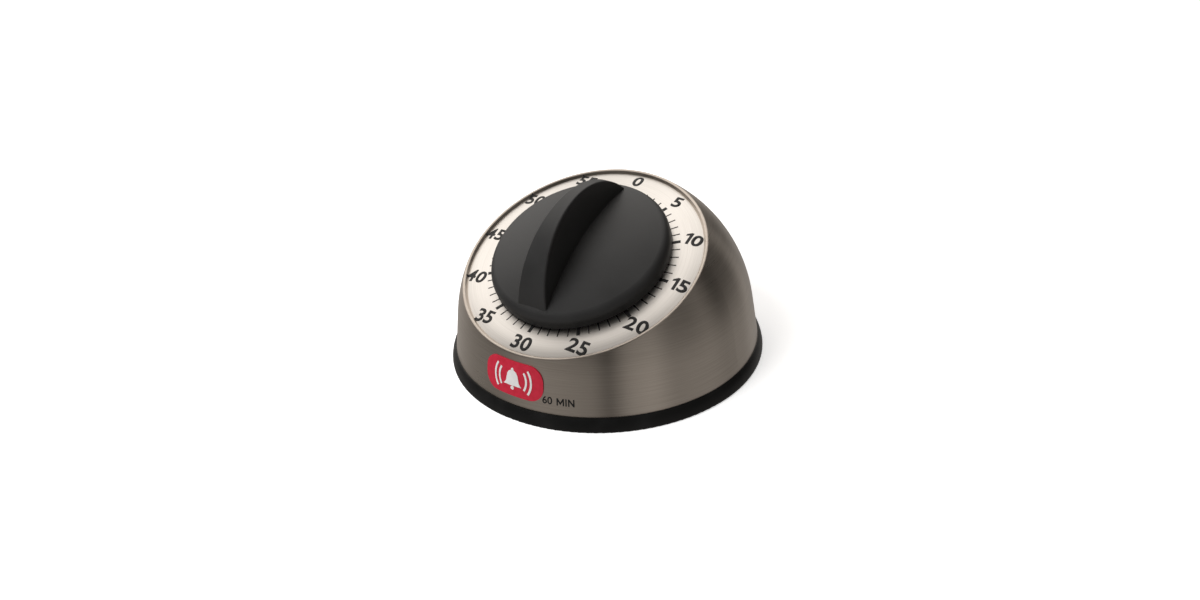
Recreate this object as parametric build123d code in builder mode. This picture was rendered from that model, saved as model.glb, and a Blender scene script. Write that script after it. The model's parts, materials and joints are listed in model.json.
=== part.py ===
# Wind-up kitchen timer: a steel dome with a sloping dial, a finger-grip knob and a clockwork movement.
# Millimetres and degrees. The origin is the centre of the base ring on the surface it stands on,
# +Z is up, and the dial leans towards -Y.
from build123d import *
import os
from math import acos, atan2, cos, degrees, hypot, pi, radians, sin, sqrt, tan

os.makedirs("parts", exist_ok=True)

# Housing: a pressed steel sheet, a sphere above a slightly flared skirt
dome_radius = 39.4
dome_centre_height = 8.7
dial_tilt = 22.4
dial_distance = 22.6  # dome centre to dial face
sheet = 0.8
crest_sheet = 1.2  # thickness under the crest
skirt_flare = 1.1  # how far the skirt stands outside the sphere at the base ring
skirt_height = 3.7  # where the skirt leaves the base ring
crest_width = 0.65
crest_round = 0.4
moat_width = 5.0
moat_floor = 0.4  # from the foot of the moat's wall to the crest's inner edge
moat_depth = 0.7
dial_hole = 3.0

# Base
ring_lip = 1.4
ring_width = 3.4
ring_top = 0.25  # flat top of the band beside the skirt
ring_bulge = 0.38  # how far the round side draws in at half its height
ring_floor = 1.6
ring_edge = 0.3
ring_shoulder = 0.7  # height of the band's straight side
base_plate_thickness = 1.4
plate_play = 0.1
base_screw_circle = 35.5
base_screw_radius = 1.25
base_screw_play = 0.2
base_screw_head = 2.5
base_screw_head_height = 1.2
base_screw_slot = 1.8
screw_slot_width = 0.6
lug_width = 7.0
lug_depth = 2.6  # of the lug inside the screw circle
lug_height = 5.0
slot_count = 5
slot_pitch = 5.0
slot_width = 1.8
slot_length = 24.0

# Knob
knob_radius = 23.5
knob_gap = 0.6
knob_crown = 8.7  # dial face to the middle of the disc
knob_crown_radius = 61.4
knob_edge = 2.6
knob_wall = 2.2
grip_top = 18.8  # knob's underside to the top of the grip
grip_arch = 23.2
grip_tail = 9.6  # widths at the grip's foot, from its broad end to its pointer
grip_middle = 7.0
grip_point = 3.7
grip_draft = 4.5
grip_edge = 0.45
boss_radius = 5.0
bush_radius = 3.0
bush_low = 1.2
bush_length = 7.0
felt_inner = 3.3
felt_outer = 7.0
felt_thickness = 0.4

# Movement, measured down from the dial face along the dial's axis
plate_radius = 25.5
plate_thickness = 1.2
front_plate_drop = 3.6
plate_gap = 11.0
spring_gap = 0.5  # front plate to mainspring
ratchet_gap = 0.4  # mainspring to ratchet wheel
click_floor = 0.2  # ratchet wheel to main wheel
wheel_gap = 0.8  # main wheel to second wheel, and on to the third
lever_gap = 0.4  # front plate to release lever
arm_gap = 0.3  # release lever to stop arm
pivot_radius = 0.4
arbor_radius = 0.7
running_play = 0.05  # radial, between a shaft and its hole
shake = 0.3  # along a shaft, between it and the plate beside it
pillar_radius = 1.9
pillar_circle = 21.5
pillar_angles = (40, 205, 290)
screw_radius = 0.9
screw_head_radius = 1.8
screw_head_height = 1.0
screw_depth = 4.0
screw_slot = 0.5
stud_circle = 22.6
stud_angles = (10, 130, 250)
stud_shoulder = 2.2
stud_radius = 1.4
stud_end = 2.6  # beyond the front plate
nut_corner = 2.9
nut_height = 1.9

# Main arbor and mainspring
shaft_radius = 1.6
shaft_neck = 1.3  # where it runs in the two bushes and enters the knob
shaft_flat = 0.4
bush_wall = 1.0
spring_width = 4.0
spring_strip = 0.3
spring_inner = 2.0
spring_pitch = 1.5
spring_half_turns = 15
spring_post_radius = 0.9
spring_post_play = 0.05
ratchet_teeth = 16
ratchet_tip = 5.0
ratchet_root = 4.1
ratchet_back = 0.5  # degrees that a tooth's face leans back
ratchet_thickness = 0.8
click_pivot_circle = 9.5
click_pivot_turn = 35  # from the ratchet face that it meets
click_hub = 1.2
click_play = 0.15
click_face = 0.6  # of the nose beyond the ratchet's tips
click_spring_strip = 0.25
click_spring_turn = 107  # of the spring's rivet on the main wheel
click_spring_knee = (11.9, 68)  # radius and turn
click_spring_bend = (12.3, 27)
rivet_radius = 0.6
rivet_head = 1.1
rivet_head_height = 0.2
wheel_hole = 2.6
wheel_holes = 5
clip_radius = 3.0
clip_thickness = 0.4
clip_play = 0.1

# Going train: involute stub teeth
pressure = radians(25)
tooth_tip = 0.8  # shares of the module
tooth_root = 1.05
tooth_slack = 0.06
flank_steps = 3
pinion_overlap = 0.2  # of a pinion beyond each side of its wheel
main_module = 0.35
main_teeth = 84
main_pinion_teeth = 12
train_module = 0.25
wheel_teeth = 60
pinion_teeth = 10
wheel_thickness = 0.6
spoke_share = 0.29  # radius of a wheel's openings as a share of its web
main_wheel_thickness = 1.0
second_angle = 150
third_circle = 17.4
escape_circle = 18.0
anchor_circle = 18.4
escape_teeth = 15
escape_tip = 4.6
escape_root = 3.4
escape_root_half = 4.5  # degrees
escape_tip_half = 0.9
escape_hole_circle = 2.1
escape_hole = 0.7
anchor_span = 3.5  # teeth between the two pallets
pallet_play = 0.1
pallet_width = 0.4
pallet_length = 1.5
pallet_reach = 0.8  # share of the pallet's length that the arm overlaps
anchor_hub = 1.3
anchor_arm = 0.9
balance_length = 10.6
balance_weight = 1.5
balance_hub = 1.5
balance_width = 1.2

# Stop, alarm and bell
cam_radius = 8.2
cam_notch = 6.2
cam_notch_half = 12
lever_thickness = 0.7
lever_play = 0.25
star_teeth = 7
star_tip = 2.6
star_root = 1.5
star_root_half = 16  # degrees
star_tip_half = 3
stop_circle = 12.2
stop_angle = 330
stop_pin_radius = 0.4
stop_arm_width = 0.8
winding_turn = 352  # from one side of the stop pin to the other
hammer_circle = 17.6
hammer_angle = 180
hammer_travel = 6  # degrees, from rest until the lever's nose and tail are fully in
hammer_hub = 1.6
lever_width = 2.0
nose_width = 1.2
nose_length = 2.4
tail_width = 0.7
tail_length = 1.4
tail_drop = 0.4
elbow_step = (5.0, 2.0)
elbow_width = 1.4
hammer_arm_width = 1.8
tang_length = 0.8
hammer_spring_block = 1.2
hammer_spring_play = 0.3
hammer_spring_start = 5.0  # along the hammer's arm
hammer_spring_end = 9.0
bell_place = (2.0, 7.0)
bell_radius = 15.0
bell_depth = 7.2
bell_wall = 0.8
bell_clearance = 1.8  # back plate to bell rim
bell_crown = 0.72  # share of the bell's radius that its flat crown takes
bell_round = 2.5
arm_clearance = 0.1
strike_angle = 235
strike_gap = 1.5
head_radius = 1.5
head_length = 3.4

# Tolerance when edges are picked
pick = 0.1

# Derived sizes
skirt_radius = dome_radius + skirt_flare
base_radius = skirt_radius + ring_lip
crest_radius = sqrt(dome_radius**2 - dial_distance**2)
moat_radius = crest_radius - crest_width - moat_floor
flat_radius = moat_radius + moat_floor - moat_width
tilt = radians(dial_tilt)
dial_normal = Vector(0, -sin(tilt), cos(tilt))
dial_up = Vector(0, cos(tilt), sin(tilt))
dome_centre = Vector(0, 0, dome_centre_height)


def polar(radius, angle):
    return (radius * cos(radians(angle)), radius * sin(radians(angle)))


def step_from(place, distance, angle):
    step = polar(distance, angle)
    return (place[0] + step[0], place[1] + step[1])


def level(height, place=(0, 0), turn=0):
    """Plane parallel to the dial, a height above its face, centred on a place and turned."""
    origin = dome_centre + dial_normal * (dial_distance + height)
    origin += Vector(place[0], 0, 0) + dial_up * place[1]
    across = Vector(cos(radians(turn)), 0, 0) + dial_up * sin(radians(turn))
    return Plane(origin=origin, x_dir=across, z_dir=dial_normal)


def section(place=(0, 0)):
    """Plane through a spindle: x is the radius and y the height above the dial face."""
    return Plane(origin=level(0, place).origin, x_dir=(1, 0, 0), z_dir=-dial_up)


def spindle(place=(0, 0)):
    return Axis(level(0, place).origin, dial_normal)


def turn_steps(steps, place=(0, 0)):
    """Adds coaxial cylinders, each a radius with its lower and upper height."""
    for radius, low, high in steps:
        with BuildSketch(level(low, place)) as step:
            Circle(radius)
        extrude(step.sketch, amount=high - low)


def bore(radius, low, high, place=(0, 0)):
    with BuildSketch(level(low, place)) as hole:
        Circle(radius)
    extrude(hole.sketch, amount=high - low, mode=Mode.SUBTRACT)


def finish(piece, name):
    piece.part.label = name
    export_step(piece.part, f"parts/{name}.step")


def between(first_circle, second_circle, distance):
    """Angle at the main arbor between two arbors that stand a distance apart."""
    squares = first_circle**2 + second_circle**2 - distance**2
    return degrees(acos(squares / (2 * first_circle * second_circle)))


def bearing(start, end):
    return degrees(atan2(end[1] - start[1], end[0] - start[0]))


def involute(angle):
    return tan(angle) - angle


def draw_gear(teeth, module, phase):
    """Adds a gear outline to the open sketch, with the middle of a tooth at the phase angle."""
    pitch = teeth * module / 2
    base = pitch * cos(pressure)
    root = pitch - tooth_root * module
    foot = max(base, root)
    tip = pitch + tooth_tip * module
    half = (pi * module / 2 - tooth_slack) / 2 / pitch + involute(pressure)
    radii = [foot + (tip - foot) * i / flank_steps for i in range(flank_steps + 1)]
    flank = [(r, half - involute(acos(min(1, base / r)))) for r in radii]
    if root < foot:
        flank.insert(0, (root, flank[0][1]))
    points = []
    for tooth in range(teeth):
        middle = radians(phase) + 2 * pi * tooth / teeth
        for r, angle in flank:
            points.append((r * cos(middle - angle), r * sin(middle - angle)))
        for r, angle in reversed(flank):
            points.append((r * cos(middle + angle), r * sin(middle + angle)))
    with BuildLine() as outline:
        Polyline(*points, close=True)
    make_face(outline.edges())


def draw_ring_of_teeth(teeth, corners, phase):
    """Adds an outline of repeated teeth, each given by corners of (radius, angle)."""
    points = []
    for tooth in range(teeth):
        for radius, angle in corners:
            points.append(polar(radius, phase + 360 * tooth / teeth + angle))
    with BuildLine() as outline:
        Polyline(*points, close=True)
    make_face(outline.edges())


# Heights of the movement's layers
front_top = -front_plate_drop
front_low = front_top - plate_thickness
back_top = front_low - plate_gap
back_low = back_top - plate_thickness
spring_top = front_low - spring_gap
spring_low = spring_top - spring_width
ratchet_top = spring_low - ratchet_gap
ratchet_low = ratchet_top - ratchet_thickness
main_top = ratchet_low - click_floor
main_low = main_top - main_wheel_thickness
second_top = main_low - wheel_gap
second_low = second_top - wheel_thickness
third_top = second_low - wheel_gap
third_low = third_top - wheel_thickness
lever_low = front_top + lever_gap
lever_top = lever_low + lever_thickness
arm_low = lever_top + arm_gap
arm_top = arm_low + lever_thickness

# Places of the arbors, across and up the dial
second_circle = main_module * (main_teeth + main_pinion_teeth) / 2
train_distance = train_module * (wheel_teeth + pinion_teeth) / 2
anchor_half = anchor_span * 180 / escape_teeth
anchor_distance = escape_tip / cos(radians(anchor_half))
third_angle = second_angle - between(second_circle, third_circle, train_distance)
escape_angle = third_angle - between(third_circle, escape_circle, train_distance)
anchor_angle = escape_angle - between(escape_circle, anchor_circle, anchor_distance)
second_place = polar(second_circle, second_angle)
third_place = polar(third_circle, third_angle)
escape_place = polar(escape_circle, escape_angle)
anchor_place = polar(anchor_circle, anchor_angle)
hammer_place = polar(hammer_circle, hammer_angle)
pillar_places = [polar(pillar_circle, angle) for angle in pillar_angles]
stud_places = [polar(stud_circle, angle) for angle in stud_angles]
spring_end = spring_inner + (spring_half_turns - 1) * spring_pitch / 2
spring_post_place = (-spring_end - spring_strip / 2 - spring_post_radius - spring_post_play, 0)


# Housing
def dome_form(wall):
    """The dome as a solid, set in by a wall thickness: skirt, then sphere."""
    radius = dome_radius - wall
    skirt = skirt_radius - wall
    rise = skirt_height - dome_centre_height
    touch = atan2(rise, skirt) + acos(radius / hypot(skirt, rise))
    with BuildPart() as form:
        with BuildSketch(Plane.XZ):
            with BuildLine():
                Polyline(
                    (0, dome_centre_height + radius),
                    (0, ring_floor),
                    (skirt, ring_floor),
                    (skirt, skirt_height),
                    (radius * cos(touch), dome_centre_height + radius * sin(touch)),
                )
                half = (touch + pi / 2) / 2
                ThreePointArc(
                    (radius * cos(touch), dome_centre_height + radius * sin(touch)),
                    (radius * cos(half), dome_centre_height + radius * sin(half)),
                    (0, dome_centre_height + radius),
                )
            make_face()
        revolve(axis=Axis.Z)
    return form.part


reach = 3 * dome_radius
with BuildPart() as dial_form:
    with BuildSketch(section()):
        with BuildLine():
            Line((0, 0), (flat_radius, 0))
            TangentArc((flat_radius, 0), (moat_radius, -moat_depth), tangent=(1, 0))
            Polyline(
                (moat_radius, -moat_depth),
                (crest_radius - crest_width, 0),
                (reach, 0),
                (reach, -reach),
                (0, -reach),
                (0, 0),
            )
        make_face()
    revolve(axis=spindle())
dial_solid = dial_form.part

with BuildPart() as hollow_form:
    with BuildSketch(section()):
        with BuildLine():
            Polyline(
                (0, -sheet),
                (flat_radius, -sheet),
                (moat_radius - sheet / 2, -moat_depth - sheet),
                (moat_radius + sheet / 2, -moat_depth - sheet),
                (crest_radius - crest_width + sheet / 2, -crest_sheet),
                (reach, -crest_sheet),
                (reach, -reach),
                (0, -reach),
                close=True,
            )
        make_face()
    revolve(axis=spindle())
    add(dome_form(sheet), mode=Mode.INTERSECT)
hollow = hollow_form.part
outside = dome_form(0)

with BuildPart() as housing:
    add(outside)
    add(dial_solid, mode=Mode.INTERSECT)
    crest = housing.edges().filter_by(GeomType.CIRCLE)
    crest = crest.filter_by(lambda edge: abs((edge.center() - level(0).origin).dot(dial_normal)) < pick)
    fillet(crest.filter_by(lambda edge: edge.radius > flat_radius + 1), crest_round)
    add(hollow, mode=Mode.SUBTRACT)
    bore(dial_hole, -2 * sheet, sheet)
finish(housing, "housing")

# Base ring: a soft band that the skirt and the base plate stand on
with BuildPart() as base_ring:
    with BuildSketch(Plane.XZ):
        with BuildLine():
            Polyline(
                (skirt_radius + ring_top, skirt_height),
                (skirt_radius, skirt_height),
                (skirt_radius, ring_floor),
                (base_radius - ring_width, ring_floor),
                (base_radius - ring_width, 0),
                (base_radius, 0),
                (base_radius, ring_shoulder),
            )
            ThreePointArc(
                (base_radius, ring_shoulder),
                (base_radius - ring_bulge, (ring_shoulder + skirt_height) / 2),
                (skirt_radius + ring_top, skirt_height),
            )
        make_face()
    revolve(axis=Axis.Z)
    bands = base_ring.edges().filter_by(GeomType.CIRCLE)
    fillet(bands.filter_by(lambda edge: edge.radius > base_radius - pick).group_by(Axis.Z)[0], ring_edge)
finish(base_ring, "base_ring")

base_plate_top = ring_floor + base_plate_thickness
base_plate_radius = skirt_radius - sheet - plate_play
with BuildPart() as base_plate:
    with BuildSketch(Plane.XY.offset(ring_floor)):
        Circle(base_plate_radius)
        with PolarLocations(base_screw_circle, 3, start_angle=90):
            Circle(base_screw_radius + base_screw_play, mode=Mode.SUBTRACT)
        with GridLocations(0, slot_pitch, 1, slot_count):
            SlotOverall(slot_length, slot_width, mode=Mode.SUBTRACT)
    extrude(amount=base_plate_thickness)
finish(base_plate, "base_plate")

with BuildPart() as base_lugs:
    with BuildSketch(Plane.XY.offset(base_plate_top)):
        with PolarLocations(base_screw_circle + dome_radius / 2 - lug_depth, 3, start_angle=90):
            Rectangle(dome_radius, lug_width)
    extrude(amount=lug_height)
    add(hollow, mode=Mode.INTERSECT)
    with BuildSketch(Plane.XY.offset(base_plate_top)):
        with PolarLocations(base_screw_circle, 3, start_angle=90):
            Circle(base_screw_radius)
    extrude(amount=lug_height, mode=Mode.SUBTRACT)
finish(base_lugs, "base_lugs")

with BuildPart() as base_screws:
    with BuildSketch(Plane.XY.offset(ring_floor - base_screw_head_height)):
        with PolarLocations(base_screw_circle, 3, start_angle=90):
            Circle(base_screw_head)
            SlotOverall(2 * base_screw_slot, screw_slot_width, mode=Mode.SUBTRACT)
    extrude(amount=base_screw_head_height / 2)
    with BuildSketch(Plane.XY.offset(ring_floor - base_screw_head_height / 2)):
        with PolarLocations(base_screw_circle, 3, start_angle=90):
            Circle(base_screw_head)
    extrude(amount=base_screw_head_height / 2)
    with BuildSketch(Plane.XY.offset(ring_floor)):
        with PolarLocations(base_screw_circle, 3, start_angle=90):
            Circle(base_screw_radius)
    extrude(amount=base_plate_thickness + lug_height)
finish(base_screws, "base_screws")

# Knob: a crowned disc with an arched grip that narrows to a pointer
crown_centre = knob_crown - knob_crown_radius


def crown_profile(radius, low, drop):
    """Half section of the crowned disc from the spindle out to a radius."""
    ball = knob_crown_radius - drop
    with BuildLine() as outline:
        Polyline(
            (0, crown_centre + ball),
            (0, low),
            (radius, low),
            (radius, crown_centre + sqrt(ball**2 - radius**2)),
        )
        middle = radius / 2
        ThreePointArc(
            (radius, crown_centre + sqrt(ball**2 - radius**2)),
            (middle, crown_centre + sqrt(ball**2 - middle**2)),
            (0, crown_centre + ball),
        )
    make_face(outline.edges())


with BuildPart() as knob:
    with BuildSketch(level(knob_gap)):
        with BuildLine():
            for side in (1, -1):
                ThreePointArc(
                    (side * grip_tail / 2, -knob_radius),
                    (side * grip_middle / 2, 0),
                    (side * grip_point / 2, knob_radius),
                )
            for half, end in ((grip_tail / 2, -knob_radius), (grip_point / 2, knob_radius)):
                Line((-half, end), (half, end))
        make_face()
    extrude(amount=grip_top, taper=grip_draft)
    with BuildSketch(Plane(origin=level(0).origin, x_dir=dial_up, z_dir=(1, 0, 0))):
        with Locations((0, grip_top - grip_arch)):
            Circle(grip_arch)
    extrude(amount=knob_radius, both=True, mode=Mode.INTERSECT)
    arches = knob.edges().filter_by(lambda edge: edge.length > grip_arch)
    fillet(arches.sort_by(SortBy.LENGTH)[-2:], grip_edge)
    with BuildSketch(section()):
        crown_profile(knob_radius, knob_gap, 0)
    revolve(axis=spindle())
    rims = knob.edges().filter_by(GeomType.CIRCLE)
    rims = rims.filter_by(lambda edge: edge.radius > knob_radius - pick)
    above = rims.filter_by(lambda edge: (edge.center() - level(2 * knob_gap).origin).dot(dial_normal) > 0)
    fillet(above, knob_edge)
    with BuildSketch(section()):
        crown_profile(knob_radius - knob_wall, 0, knob_wall)
    revolve(axis=spindle(), mode=Mode.SUBTRACT)
    with BuildSketch(section()):
        crown_profile(boss_radius, bush_low, knob_wall / 2)
    revolve(axis=spindle())
    bore(bush_radius, bush_low, bush_low + bush_length)
finish(knob, "knob")


def draw_flatted_shaft(radius):
    """A circle with one flat, as on a shaft that drives a knob."""
    Circle(radius)
    with Locations((radius - shaft_flat + radius / 2, 0)):
        Rectangle(radius, 2 * radius, mode=Mode.SUBTRACT)


with BuildPart() as knob_bush:
    turn_steps([(bush_radius, bush_low, bush_low + bush_length)])
    with BuildSketch(level(bush_low)):
        draw_flatted_shaft(shaft_neck)
    extrude(amount=bush_length, mode=Mode.SUBTRACT)
finish(knob_bush, "knob_bush")

with BuildPart() as felt_washer:
    turn_steps([(felt_outer, 0, felt_thickness)])
    bore(felt_inner, 0, felt_thickness)
finish(felt_washer, "felt_washer")

# Movement plates, pillars and fastenings
front_bush_hole = shaft_neck + bush_wall
with BuildPart() as front_plate:
    turn_steps([(plate_radius, front_low, front_top)])
    bore(front_bush_hole, front_low, front_top)
    for place in stud_places:
        bore(stud_radius, front_low, front_top, place)
    for place in (second_place, third_place, escape_place, anchor_place):
        bore(pivot_radius + running_play, front_low, front_top, place)
    bore(arbor_radius + running_play, front_low, front_top, second_place)
    bore(arbor_radius + running_play, front_low, front_top, hammer_place)
    bore(spring_post_radius, front_low, front_top, spring_post_place)
    bore(stop_pin_radius, front_low, front_top, polar(stop_circle, stop_angle))
    for place in pillar_places:
        bore(screw_radius, front_low, front_top, place)
finish(front_plate, "front_plate")

with BuildPart() as back_plate:
    turn_steps([(plate_radius, back_low, back_top)])
    bore(front_bush_hole, back_low, back_top)
    for place in (second_place, third_place, escape_place, anchor_place):
        bore(pivot_radius + running_play, back_low, back_top, place)
    bore(arbor_radius + running_play, back_low, back_top, hammer_place)
    for place in pillar_places:
        bore(screw_radius, back_low, back_top, place)
    bore(screw_radius, back_low, back_top, bell_place)
finish(back_plate, "back_plate")

with BuildPart() as pillars:
    for place in pillar_places:
        turn_steps([(pillar_radius, back_top, front_low), (screw_radius, front_low, front_top)], place)
        bore(screw_radius, back_top, back_top + screw_depth, place)
finish(pillars, "pillars")

with BuildPart() as pillar_screws:
    for place in pillar_places:
        head_low = back_low - screw_head_height
        turn_steps([(screw_head_radius, head_low, back_low)], place)
        turn_steps([(screw_radius, back_low, back_top + screw_depth)], place)
        with BuildSketch(level(head_low, place)):
            Rectangle(3 * screw_head_radius, screw_slot)
        extrude(amount=screw_head_height / 2, mode=Mode.SUBTRACT)
finish(pillar_screws, "pillar_screws")

with BuildPart() as dial_studs:
    for place in stud_places:
        turn_steps([(stud_shoulder, front_top, -sheet)], place)
        turn_steps([(stud_radius, front_low - stud_end, front_top)], place)
finish(dial_studs, "dial_studs")

with BuildPart() as stud_nuts:
    for place in stud_places:
        with BuildSketch(level(front_low - nut_height, place)):
            RegularPolygon(nut_corner, 6)
            Circle(stud_radius, mode=Mode.SUBTRACT)
        extrude(amount=nut_height)
finish(stud_nuts, "stud_nuts")

for name, low, high in (("front_bush", front_low, front_top), ("back_bush", back_low, back_top)):
    with BuildPart() as bush:
        turn_steps([(front_bush_hole, low, high)])
        bore(shaft_neck + running_play, low, high)
    finish(bush, name)

# Main arbor with its spring, ratchet and wheel
with BuildPart() as main_arbor:
    turn_steps(
        [
            (shaft_neck, back_low - shake, back_top + shake),
            (shaft_radius, back_top + shake, front_low - shake),
            (shaft_neck, front_low - shake, bush_low),
        ]
    )
    with BuildSketch(level(bush_low)):
        draw_flatted_shaft(shaft_neck)
    extrude(amount=bush_length)
finish(main_arbor, "main_arbor")


# The strip's two sides are semicircles of growing radius
with BuildPart() as mainspring:
    with BuildSketch(level(spring_low)):
        with BuildLine():
            for half in range(spring_half_turns):
                for offset in (spring_strip / 2, -spring_strip / 2):
                    centre = spring_pitch / 2 * (half % 2)
                    side = 1 if half % 2 == 0 else -1
                    radius = spring_inner + half * spring_pitch / 2 + offset
                    top = (centre, side * radius)
                    ThreePointArc((centre + side * radius, 0), top, (centre - side * radius, 0))
            for x in (spring_inner, -spring_end):
                Line((x - spring_strip / 2, 0), (x + spring_strip / 2, 0))
        make_face()
    extrude(amount=spring_width)
finish(mainspring, "mainspring")

with BuildPart() as spring_post:
    turn_steps([(spring_post_radius, spring_low, front_top)], spring_post_place)
finish(spring_post, "spring_post")

ratchet_pitch = 360 / ratchet_teeth
with BuildPart() as ratchet_wheel:
    with BuildSketch(level(ratchet_low)):
        corners = [(ratchet_root, 0), (ratchet_tip, ratchet_pitch - ratchet_back)]
        draw_ring_of_teeth(ratchet_teeth, corners, ratchet_back)
        Circle(shaft_radius, mode=Mode.SUBTRACT)
    extrude(amount=ratchet_thickness)
finish(ratchet_wheel, "ratchet_wheel")

main_bearing = bearing((0, 0), second_place)
click_place = polar(click_pivot_circle, click_pivot_turn)
spring_foot = polar(click_pivot_circle, click_spring_turn)
with BuildPart() as main_wheel:
    with BuildSketch(level(main_low)):
        draw_gear(main_teeth, main_module, main_bearing)
        Circle(shaft_radius + running_play, mode=Mode.SUBTRACT)
        with PolarLocations(
            click_pivot_circle, wheel_holes, start_angle=click_pivot_turn + 180 / wheel_holes
        ):
            Circle(wheel_hole, mode=Mode.SUBTRACT)
    extrude(amount=main_wheel_thickness)
    for place in (click_place, spring_foot):
        bore(rivet_radius, main_low, main_top, place)
finish(main_wheel, "main_wheel")

click_gap = degrees(click_play / ratchet_root)
nose = polar(ratchet_root + click_play, click_gap)
heel = polar(ratchet_tip + click_face, click_gap)
click_line = bearing(nose, click_place)
click_inner = step_from(click_place, click_hub, click_line + 90)
click_outer = step_from(click_place, click_hub, click_line - 90)
with BuildPart() as click:
    with BuildSketch(level(ratchet_low)):
        with BuildLine():
            Polyline(nose, heel, click_outer, click_inner, close=True)
        make_face()
        with Locations(click_place):
            Circle(click_hub)
            Circle(rivet_radius, mode=Mode.SUBTRACT)
    extrude(amount=ratchet_thickness)
finish(click, "click")

with BuildPart() as click_rivet:
    turn_steps(
        [(rivet_radius, main_low, ratchet_top), (click_hub, ratchet_top, ratchet_top + rivet_head_height)],
        click_place,
    )
finish(click_rivet, "click_rivet")

# The click spring is a bent strip: a riveted foot, a bend outside the click and a tip on its back
strip = click_spring_strip
spring_tip = ((heel[0] + click_outer[0]) / 2 + strip, (heel[1] + click_outer[1]) / 2 - strip)
with BuildPart() as click_spring:
    with BuildSketch(level(main_top)):
        with BuildLine() as strip_line:
            Polyline(spring_foot, polar(*click_spring_knee), polar(*click_spring_bend), spring_tip)
        trace(strip_line.line, strip)
        with Locations(spring_foot):
            Circle(rivet_head)
    extrude(amount=ratchet_thickness)
    bore(rivet_radius, main_top, ratchet_top, spring_foot)
finish(click_spring, "click_spring")

with BuildPart() as spring_rivet:
    turn_steps(
        [(rivet_radius, main_low, ratchet_top), (rivet_head, ratchet_top, ratchet_top + rivet_head_height)],
        spring_foot,
    )
finish(spring_rivet, "spring_rivet")

with BuildPart() as wheel_clip:
    with BuildSketch(level(main_low - clip_play - clip_thickness)):
        Circle(clip_radius)
        Circle(shaft_radius, mode=Mode.SUBTRACT)
        with Locations((clip_radius, 0)):
            Rectangle(2 * clip_radius, shaft_radius, mode=Mode.SUBTRACT)
    extrude(amount=clip_thickness)
finish(wheel_clip, "wheel_clip")


# Going train
def build_wheel(teeth, module, phase, low, place, hub):
    with BuildPart() as wheel:
        with BuildSketch(level(low, place)):
            draw_gear(teeth, module, phase)
            Circle(hub, mode=Mode.SUBTRACT)
            rim = teeth * module / 2
            with PolarLocations((rim + hub) / 2, 4, start_angle=phase):
                Circle((rim - hub) * spoke_share, mode=Mode.SUBTRACT)
        extrude(amount=wheel_thickness)
    return wheel


def build_arbor(place, teeth, module, phase, low, high, tops):
    """A pinion cut on its arbor, with a pivot at each end. tops holds the upper steps."""
    with BuildPart() as arbor:
        turn_steps([(pivot_radius, back_low - shake, back_top + shake)], place)
        turn_steps([(arbor_radius, back_top + shake, tops[0][1])], place)
        turn_steps(tops, place)
        with BuildSketch(level(low, place)):
            draw_gear(teeth, module, phase)
        extrude(amount=high - low)
    return arbor


plain_top = [(pivot_radius, front_low - shake, front_top + shake)]
star_shaft = [(arbor_radius, front_low - shake, lever_top)]
to_third = bearing(second_place, third_place)
to_escape = bearing(third_place, escape_place)
second_gap = 180 + main_bearing + 180 / main_pinion_teeth
third_gap = 180 + to_third + 180 / pinion_teeth
escape_gap = 180 + to_escape + 180 / pinion_teeth

second_arbor = build_arbor(
    second_place,
    main_pinion_teeth,
    main_module,
    second_gap,
    main_low - pinion_overlap,
    main_top + pinion_overlap,
    star_shaft,
)
finish(second_arbor, "second_arbor")
finish(
    build_wheel(wheel_teeth, train_module, to_third, second_low, second_place, arbor_radius), "second_wheel"
)
third_arbor = build_arbor(
    third_place,
    pinion_teeth,
    train_module,
    third_gap,
    second_low - pinion_overlap,
    second_top + pinion_overlap,
    plain_top,
)
finish(third_arbor, "third_arbor")
finish(
    build_wheel(wheel_teeth, train_module, to_escape, third_low, third_place, arbor_radius), "third_wheel"
)
escape_arbor = build_arbor(
    escape_place,
    pinion_teeth,
    train_module,
    escape_gap,
    third_low - pinion_overlap,
    third_top + pinion_overlap,
    plain_top,
)
finish(escape_arbor, "escape_arbor")

# Escapement. The wheel rests with each pallet over a gap between its teeth.
escape_pitch = 360 / escape_teeth
to_anchor = bearing(escape_place, anchor_place)
entry_gap = to_anchor + anchor_half
escape_phase = entry_gap + escape_pitch / 4
with BuildPart() as escape_wheel:
    with BuildSketch(level(second_low, escape_place)):
        corners = [
            (escape_root, -escape_root_half),
            (escape_tip, -escape_tip_half),
            (escape_tip, escape_tip_half),
            (escape_root, escape_root_half),
        ]
        draw_ring_of_teeth(escape_teeth, corners, escape_phase)
        Circle(arbor_radius, mode=Mode.SUBTRACT)
        with PolarLocations(escape_hole_circle, wheel_holes):
            Circle(escape_hole, mode=Mode.SUBTRACT)
    extrude(amount=wheel_thickness)
finish(escape_wheel, "escape_wheel")

with BuildPart() as anchor_arbor:
    turn_steps(
        [
            (pivot_radius, back_low - shake, back_top + shake),
            (arbor_radius, back_top + shake, front_low - shake),
            (pivot_radius, front_low - shake, front_top + shake),
        ],
        anchor_place,
    )
finish(anchor_arbor, "anchor_arbor")

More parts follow.
